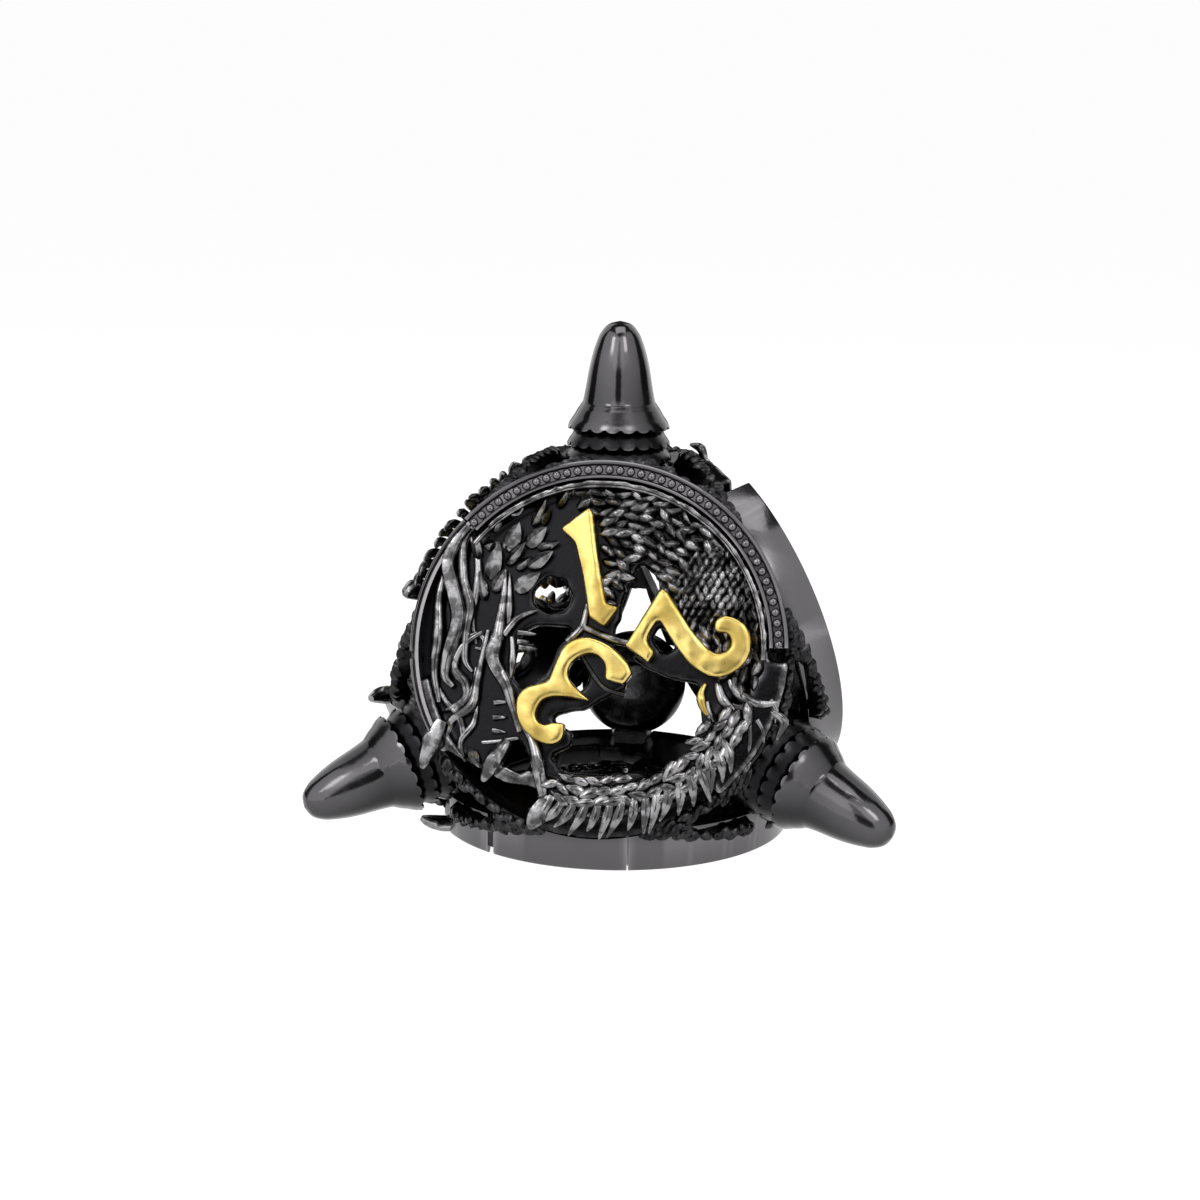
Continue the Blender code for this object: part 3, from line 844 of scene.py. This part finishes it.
class DRAGON_OT_dragons(DragonDieOperator, bpy.types.Operator):
    """Model one pierced dragon relief and fit a copy in each medallion"""

    bl_idname = "dragon_die.dragons"
    bl_label = "Dragons"

    def execute(self, context):
        models = {
            "web": (self.web(), "gunmetal_antiqued"),
            "dragon": (self.relief(), "gunmetal_antiqued"),
            "claw": (strands("claw_tip", CLAW_TIP), "gilt"),
        }
        for medallion, place in MEDALLION_PLACES.items():
            for part, (model, slot) in models.items():
                settle(copy_of(model, f"{medallion}_{part}"), place, slot, f"dragon_{medallion}")
        for model, _ in models.values():
            remove(model)
        return {"FINISHED"}

    def web(self):
        """The plate behind the relief, with its sharp edges worn round."""
        web = cad_copy("dragon_front", "web_model", MEDALLION_PLACES["front"])
        for outer, inner, first, last, steps, low in PLATE_CUTS:
            outline = arc(outer, first, last, steps) + arc(inner, last, first, steps)
            trim(web, slab("plate_cut", outline, low, 1.0))
        for outline in OPENINGS:
            trim(web, slab("opening", list(outline), WEB_BOTTOM - 1, 1.0))
        wear_round(web, PLATE_GRAIN, 6)
        return web

    def relief(self):
        """The dragon itself: mane, spikes, teeth, claws, leaf blades and beds of scales."""
        jitter = random.Random(4)
        line = (0.13, 0.15, 0.13, 0.62, arc(8.18, RIM_START - 4, RIM_END + 4, 40))
        parts = [strands("ribs", SPIKES + CLAWS + FINS + ROOT + (line,)), strands("mane", MANE, 1.3)]
        thorns = self.fringe(jitter)
        thorns += [(0.17, 0.13, 0.03, 0.15, (root, tip)) for root, tip in TEETH]
        parts.append(strands("thorns", thorns))
        leaf, scale = leaf_model(), scale_model()
        parts.append(scatter("blades", leaf, self.blade_places(jitter)))
        parts.append(scatter("scales", scale, self.scale_places(jitter)))
        parts.append(self.ring())
        remove(leaf)
        remove(scale)
        dragon = join("dragon_model", *parts)
        for vert in dragon.data.vertices:
            proud = vert.co.z - LEVEL
            if proud > 0:
                vert.co.z = LEVEL * math.exp(proud / LEVEL)
        smooth(dragon, 50.0)
        return dragon

    def fringe(self, jitter):
        """Routes of the curved spines that stand outwards from the tail."""
        start, end, count = FRINGE
        routes = []
        for index in range(count):
            around = math.radians(start + (end - start) * index / (count - 1))
            lean = -0.10 + jitter.uniform(-0.04, 0.04)
            reach = jitter.uniform(9.0, 9.5)
            spots = ((7.7, 0.0, 0.0), (8.4, 0.35 * lean, 0.1), (reach, lean, -0.25))
            points = [
                (radius * math.cos(around + turn), radius * math.sin(around + turn), drop)
                for radius, turn, drop in spots
            ]
            routes.append((0.22, 0.27, 0.05, 0.5, points))
        return routes

    def ring(self):
        """The small ring above the dragon's brow."""
        bpy.ops.mesh.primitive_torus_add(
            major_segments=28, minor_segments=10, major_radius=0.36, minor_radius=0.13,
            location=(-4.6, 7.0, WEB_TOP + 0.3),
        )
        ring = named("ring")
        ring.data.transform(ring.matrix_world @ Matrix.Diagonal((1, 1.1, 1, 1)))
        ring.matrix_world = Matrix.Identity(4)
        return ring

    def blade_places(self, jitter):
        """Where the leaf blades lie."""
        places = []
        for (x1, y1), (x2, y2), width in BLADES:
            length = math.hypot(x2 - x1, y2 - y1)
            turn = math.atan2(y2 - y1, x2 - x1)
            tilt = math.radians(jitter.uniform(4, 14))
            places.append(aimed(x1, y1, WEB_TOP + 0.28, turn, width, length, 0.5, tilt))
        return places

    def scale_places(self, jitter):
        """Where the body's, haunch's and tail's scales lie."""
        wide, long = self.sizes.scale_width / 2, self.sizes.scale_length / 2
        places = []
        for region, low, high, base in ((BODY, 1.8, 8.2, 0.42), (TAIL, 5.6, 8.7, 0.80)):
            rows = round((high - low) / (wide * 1.75))
            for row in range(rows):
                radius = low + row * wide * 1.75
                count = round(math.tau * radius / (long * 1.7))
                for index in range(count):
                    around = math.tau * (index + 0.5 * (row % 2)) / count
                    x, y = radius * math.cos(around), radius * math.sin(around)
                    if not inside(x, y, region) or (Vector((x, y)) - HAUNCH).length < HAUNCH_RADIUS - 0.2:
                        continue
                    x += jitter.uniform(-0.05, 0.05)
                    y += jitter.uniform(-0.05, 0.05)
                    size = jitter.uniform(0.9, 1.2)
                    turn = around - math.pi / 2 + jitter.uniform(-0.6, 0.6)
                    lift = WEB_TOP + base + jitter.uniform(-0.08, 0.08)
                    tilt = jitter.uniform(0.0, 0.3)
                    places.append(
                        aimed(x, y, lift, turn, wide * size, long * size * 1.15, 0.42, tilt)
                        @ Matrix.Rotation(jitter.uniform(-0.2, 0.2), 4, "Y")
                    )
        rows = round(2 * HAUNCH_RADIUS / 0.34)
        for row in range(rows):
            for column in range(rows):
                x = HAUNCH.x - HAUNCH_RADIUS + (column + 0.5 * (row % 2)) * 0.4
                y = HAUNCH.y - HAUNCH_RADIUS + row * 0.36
                away = (Vector((x, y)) - HAUNCH).length / HAUNCH_RADIUS
                if away > 1:
                    continue
                lift = WEB_TOP + 0.30 + 0.42 * (1 - away**2)
                turn = math.radians(250 + jitter.uniform(-30, 30))
                places.append(
                    aimed(x, y, lift, turn, 0.24, 0.30, 0.42, jitter.uniform(0.0, 0.5))
                    @ Matrix.Rotation(jitter.uniform(-0.3, 0.3), 4, "Y")
                )
        return places


# ---------------------------------------------------------------- numerals


class DRAGON_OT_numerals(DragonDieOperator, bpy.types.Operator):
    """Round the edges of each numeral"""

    bl_idname = "dragon_die.numerals"
    bl_label = "Numerals"

    def execute(self, context):
        for node in sorted(frame["nodes"]):
            if not node.startswith("numeral_"):
                continue
            number, medallion = node.split("_")[1:]
            place = MEDALLION_PLACES[medallion]
            piece = cad_copy(node, f"{medallion}_{number}", place)
            wear_round(piece, NUMERAL_GRAIN, self.sizes.numeral_rounding)
            settle(piece, place, "gilt", node)
        return {"FINISHED"}


# ---------------------------------------------------------------- corners


class DRAGON_OT_collars(DragonDieOperator, bpy.types.Operator):
    """Turn one tiered collar and fit a copy at each corner"""

    bl_idname = "dragon_die.collars"
    bl_label = "Collars"

    def execute(self, context):
        tier_height = (COLLAR_OUT - TIERS_FROM) / TIERS
        profile = [(BORE_RADIUS, COLLAR_IN), (1.5, COLLAR_IN)]
        profile += [(2.45, COLLAR_IN + 0.12), (2.8, COLLAR_IN + 0.4)]
        profile += [(HUB_RADIUS, COLLAR_IN + 0.9), (HUB_RADIUS, TIERS_FROM - 0.6), (2.3, TIERS_FROM - 0.3)]
        edges = []
        for tier in range(TIERS):
            low = TIERS_FROM + tier * tier_height
            reach = 2.84 - 0.09 * tier
            edges += [(low - 0.12, reach - 0.10), (low - 0.10, reach)]
            profile += [
                (2.1, low - 0.05), (reach - 0.10, low - 0.12), (reach, low - 0.10),
                (reach - 0.02, low + 0.02), (reach - 0.08, low + 0.22), (reach - 0.24, low + 0.42),
                (2.32, low + tier_height - 0.12),
            ]
        profile += [(2.1, COLLAR_OUT), (BORE_RADIUS, COLLAR_OUT)]
        collar = turned("collar_model", profile, steps=self.sizes.teeth * 8)
        for height, radius in edges:
            scallop(collar, height, radius, self.sizes.teeth, self.sizes.notch, 0.06)
        for height, radius in ((COLLAR_IN + 0.12, 2.45), (COLLAR_IN + 0.4, 2.8)):
            scallop(collar, height, radius, 16, -0.12, 0.05)
        smooth(collar, 50.0)
        fit_copies(collar, CORNER_PLACES, "collar", "gunmetal_antiqued", "collar")
        return {"FINISHED"}


class DRAGON_OT_horns(DragonDieOperator, bpy.types.Operator):
    """Turn one horn with a scalloped skirt and fit a copy at each corner"""

    bl_idname = "dragon_die.horns"
    bl_label = "Horns"

    def execute(self, context):
        foot = COLLAR_OUT + 0.04
        skirt = [(0.0, STUD_IN), (STUD_RADIUS, STUD_IN), (STUD_RADIUS, foot), (2.2, foot)]
        edge = [(2.52, foot - 0.06), (2.62, foot - 0.02)]
        wall = [(2.62, foot + 0.12), (2.55, foot + 0.30), (2.43, foot + 0.48), (2.30, foot + 0.66)]
        cone = flowing(
            [(2.14, 4.50), (1.97, 4.26), (1.86, 4.05), (1.72, 3.35), (1.57, 2.45), (1.39, 1.70), (1.20, 1.12),
             (0.98, 0.62), (0.58, 0.17), (0.0, 0.0)], 4,
        )
        profile = skirt + edge + wall + [(max(radius, 0.0), TIP_OUT - drop) for radius, drop in cone]
        horn = turned("horn_model", profile, steps=self.sizes.teeth * 8)
        for radius, height in edge:
            scallop(horn, height, radius, self.sizes.teeth, self.sizes.notch, 0.08)
        smooth(horn, 50.0)
        fit_copies(horn, CORNER_PLACES, "horn", "gunmetal", "horn")
        return {"FINISHED"}


class DRAGON_OT_corner_scales(DragonDieOperator, bpy.types.Operator):
    """Fill the gaps between the rims and each collar with scaly ornament"""

    bl_idname = "dragon_die.corner_scales"
    bl_label = "Corner scales"

    BED_ROWS, BED_COLUMNS = 14, 10
    SCALE_ROWS = 16
    SCALE_PITCH = 0.62

    def beside_rim(self, side, angle, radius, depth):
        """A point on the medallion that lies 60 degrees to one side of the -X valley.

        The angle runs along the medallion, from the corner towards the valley.
        """
        around = math.radians(180 - side * 60)
        outward = Vector((math.cos(around), math.sin(around), 0.0))
        along = Vector((-math.sin(around), math.cos(around), 0.0)) * side
        axis = Vector((0.0, 0.0, 1.0))
        lean = 2 * math.sqrt(2) / 3
        face = axis / 3 + outward * lean
        climb = axis * lean - outward / 3
        return face * (FACE_OUT - depth) + (climb * math.cos(angle) + along * math.sin(angle)) * radius

    def is_open(self, down, across):
        """Whether the ornament leaves a hole here, beside the collar."""
        return down < 0.62 and abs(across) < 0.58

    def surface(self, down, across):
        """The ornament's own face: down from the collar into the valley, and across between two rims."""
        angle = math.radians(4 + 40 * down)
        depth = 0.9 + 0.9 * down
        near = self.beside_rim(1, angle, RIM_RADIUS - 0.15, depth)
        far = self.beside_rim(-1, angle, RIM_RADIUS - 0.15, depth)
        middle = near.lerp(far, (across + 1) / 2)
        return middle + middle.normalized() * 0.35 * (1 - across * across) * (1 - down)

    def execute(self, context):
        jitter = random.Random(9)
        bpy.ops.mesh.primitive_grid_add(x_subdivisions=self.BED_COLUMNS, y_subdivisions=self.BED_ROWS, size=2)
        bed = named("bed_model")
        with editing(bed):
            builder = bmesh.from_edit_mesh(bed.data)
            for vert in builder.verts:
                vert.select_set(self.is_open((1 - vert.co.y) / 2, vert.co.x))
            bmesh.update_edit_mesh(bed.data)
            bpy.ops.mesh.delete(type="VERT")
        for vert in bed.data.vertices:
            vert.co = self.surface((1 - vert.co.y) / 2, vert.co.x)
        middle = bed.data.polygons[len(bed.data.polygons) // 2]
        if middle.normal.dot(middle.center) < 0:
            with editing(bed):
                bpy.ops.mesh.flip_normals()
        apply_modifier(bed, "SOLIDIFY", thickness=0.7, offset=-1.0)
        scale = scale_model()
        places = []
        for row in range(self.SCALE_ROWS):
            down = 0.04 + 0.92 * row / (self.SCALE_ROWS - 1)
            width = (self.surface(down, 1) - self.surface(down, -1)).length
            count = max(2, round(width / self.SCALE_PITCH))
            for index in range(count):
                across = -0.95 + 1.9 * (index + 0.5 * (row % 2)) / count
                if self.is_open(down, across):
                    continue
                spot = self.surface(down, across)
                ahead = (self.surface(down - 0.02, across) - spot).normalized()
                side = (self.surface(down, across + 0.02) - spot).normalized()
                up = side.cross(ahead)
                up = up if up.dot(spot) > 0 else -up
                side = ahead.cross(up)
                size = jitter.uniform(0.85, 1.2)
                turn = Matrix((side, -ahead, up)).transposed().to_4x4()
                places.append(
                    Matrix.Translation(spot + up * 0.06)
                    @ turn
                    @ Matrix.Rotation(jitter.uniform(-0.4, 0.4), 4, "Z")
                    @ Matrix.Rotation(jitter.uniform(0.2, 0.6), 4, "X")
                    @ Matrix.Diagonal((0.3 * size, 0.4 * size, 0.45, 1.0))
                )
        scales = scatter("bed_scales", scale, places)
        remove(scale)
        valley = join("valley_model", scales, bed)
        tidy_shell(valley, 1e-5)
        smooth(valley, 50.0)
        turns = [Matrix.Rotation(math.radians(120 * turn), 4, "Z") for turn in range(3)]
        corner_bed = scatter("corner_bed", valley, turns)
        remove(valley)
        fit_copies(corner_bed, CORNER_PLACES, "scales", "gunmetal_antiqued", "collar")
        return {"FINISHED"}


# ---------------------------------------------------------------- stage


class DRAGON_OT_stage(DragonDieOperator, bpy.types.Operator):
    """Add the floor, the studio light and the camera"""

    bl_idname = "dragon_die.stage"
    bl_label = "Stage"

    AZIMUTH = 6.82
    ELEVATION = 13.63
    DISTANCE = 0.1061
    ROLL = 0.78
    LENS = 59.6
    SHIFT = (-0.0129, 0.0539)
    # Each softbox: degrees round from the camera's side and up, distance, width, height in metres, radiance
    SOFTBOXES = {
        "key_left": (-52, 22, 0.16, 0.24, 0.26, 1.6),
        "key_right": (46, 22, 0.16, 0.24, 0.26, 1.3),
        "front_high": (-4, 36, 0.26, 0.20, 0.12, 0.72),
        "hot_left": (-38, 40, 0.24, 0.05, 0.08, 6.0),
        "hot_right": (30, 42, 0.24, 0.05, 0.08, 5.0),
        "overhead": (10, 80, 0.22, 0.16, 0.10, 3.0),
        "rear_left": (-140, 30, 0.2, 0.14, 0.2, 1.4),
        "rear_right": (140, 30, 0.2, 0.14, 0.2, 1.4),
    }

    def execute(self, context):
        self.floor()
        self.camera(context)
        self.world(context)
        for name, values in self.SOFTBOXES.items():
            self.softbox(name, *values)
        context.scene.view_settings.view_transform = "Standard"
        return {"FINISHED"}

    def floor(self):
        """A plain pale floor."""
        bpy.ops.mesh.primitive_plane_add(size=4.0, location=(0, 0, -0.00002))
        floor = named("floor")
        finish = Finish("floor")
        grain = finish.noise(0.05, 2.0)
        base = finish.mix(grain, (0.14, 0.14, 0.14, 1), (0.16, 0.16, 0.16, 1))
        finish.set(base_color=base, roughness=0.9)
        finish.set(emission_color=(1, 1, 1, 1), emission_strength=0.96)
        floor.data.materials.append(finish.material)

    def direction(self, azimuth, elevation):
        """The direction that lies so many degrees round from the front and up."""
        around, above = math.radians(azimuth), math.radians(elevation)
        level = math.cos(above)
        return Vector((math.sin(around) * level, -math.cos(around) * level, math.sin(above)))

    def camera(self, context):
        """The camera, a little to the right of the front medallion and above it."""
        back = self.direction(self.AZIMUTH, self.ELEVATION)
        bpy.ops.object.camera_add()
        camera = context.object
        camera.name = "camera"
        aim = (-back).to_track_quat("-Z", "Y").to_matrix().to_4x4()
        roll = Matrix.Rotation(math.radians(self.ROLL), 4, "Z")
        camera.matrix_world = Matrix.Translation(DIE_CENTRE + back * self.DISTANCE) @ aim @ roll
        camera.data.lens = self.LENS
        camera.data.sensor_width = 36.0
        camera.data.shift_x, camera.data.shift_y = self.SHIFT
        camera.data.clip_start = 0.001
        context.scene.camera = camera

    def softbox(self, name, azimuth, elevation, distance, width, height, radiance):
        """An area light that faces the die, at an angle round from the camera's own side."""
        back = self.direction(self.AZIMUTH + azimuth, elevation)
        bpy.ops.object.light_add(type="AREA")
        light = bpy.context.object
        light.name = name
        light.data.shape = "RECTANGLE"
        light.data.size, light.data.size_y = width, height
        light.data.energy = radiance * math.pi * width * height
        aim = back.to_track_quat("Z", "Y").to_matrix().to_4x4()
        light.matrix_world = Matrix.Translation(DIE_CENTRE + back * distance) @ aim
        light.visible_camera = False

    def world(self, context):
        """White behind the die, and a dark studio in its reflections."""
        world = bpy.data.worlds.new("studio")
        context.scene.world = world
        world.use_nodes = True
        tree = world.node_tree
        background = tree.nodes["Background"]
        path = tree.nodes.new("ShaderNodeLightPath")
        shade = tree.nodes.new("ShaderNodeMix")
        shade.data_type = "RGBA"
        shade.inputs[6].default_value = (0.10, 0.10, 0.105, 1)
        shade.inputs[7].default_value = (0.98, 0.98, 0.98, 1)
        tree.links.new(path.outputs["Is Camera Ray"], shade.inputs[0])
        tree.links.new(shade.outputs[2], background.inputs["Color"])


# ---------------------------------------------------------------- the add-on

STEPS = (
    DRAGON_OT_rims,
    DRAGON_OT_dragons,
    DRAGON_OT_numerals,
    DRAGON_OT_collars,
    DRAGON_OT_horns,
    DRAGON_OT_corner_scales,
    DRAGON_OT_stage,
)


class DRAGON_PT_panel(bpy.types.Panel):
    """The die's pieces, in the order they are made"""

    bl_label = "Dragon die"
    bl_idname = "DRAGON_PT_panel"
    bl_space_type = "VIEW_3D"
    bl_region_type = "UI"
    bl_category = "Dragon die"

    def draw(self, context):
        for group in (context.scene.dragon_die_sizes, context.scene.dragon_die_finishes):
            for key in type(group).__annotations__:
                self.layout.prop(group, key)
        for step in STEPS:
            self.layout.operator(step.bl_idname)


CLASSES = (DragonDieSizes, DragonDieFinishes, *STEPS, DRAGON_PT_panel)


def register():
    """Add the die's classes and settings to Blender."""
    for item in CLASSES:
        bpy.utils.register_class(item)
    bpy.types.Scene.dragon_die_sizes = PointerProperty(type=DragonDieSizes)
    bpy.types.Scene.dragon_die_finishes = PointerProperty(type=DragonDieFinishes)


def unregister():
    """Take them away again."""
    del bpy.types.Scene.dragon_die_finishes
    del bpy.types.Scene.dragon_die_sizes
    for item in reversed(CLASSES):
        bpy.utils.unregister_class(item)


def main():
    """Make the whole die."""
    register()
    bpy.ops.object.select_all(action="DESELECT")
    for step in STEPS:
        group, name = step.bl_idname.split(".")
        result = getattr(getattr(bpy.ops, group), name)()
        if result != {"FINISHED"}:
            raise RuntimeError(f"{step.bl_label} didn't finish")


if __name__ == "__main__":
    main()
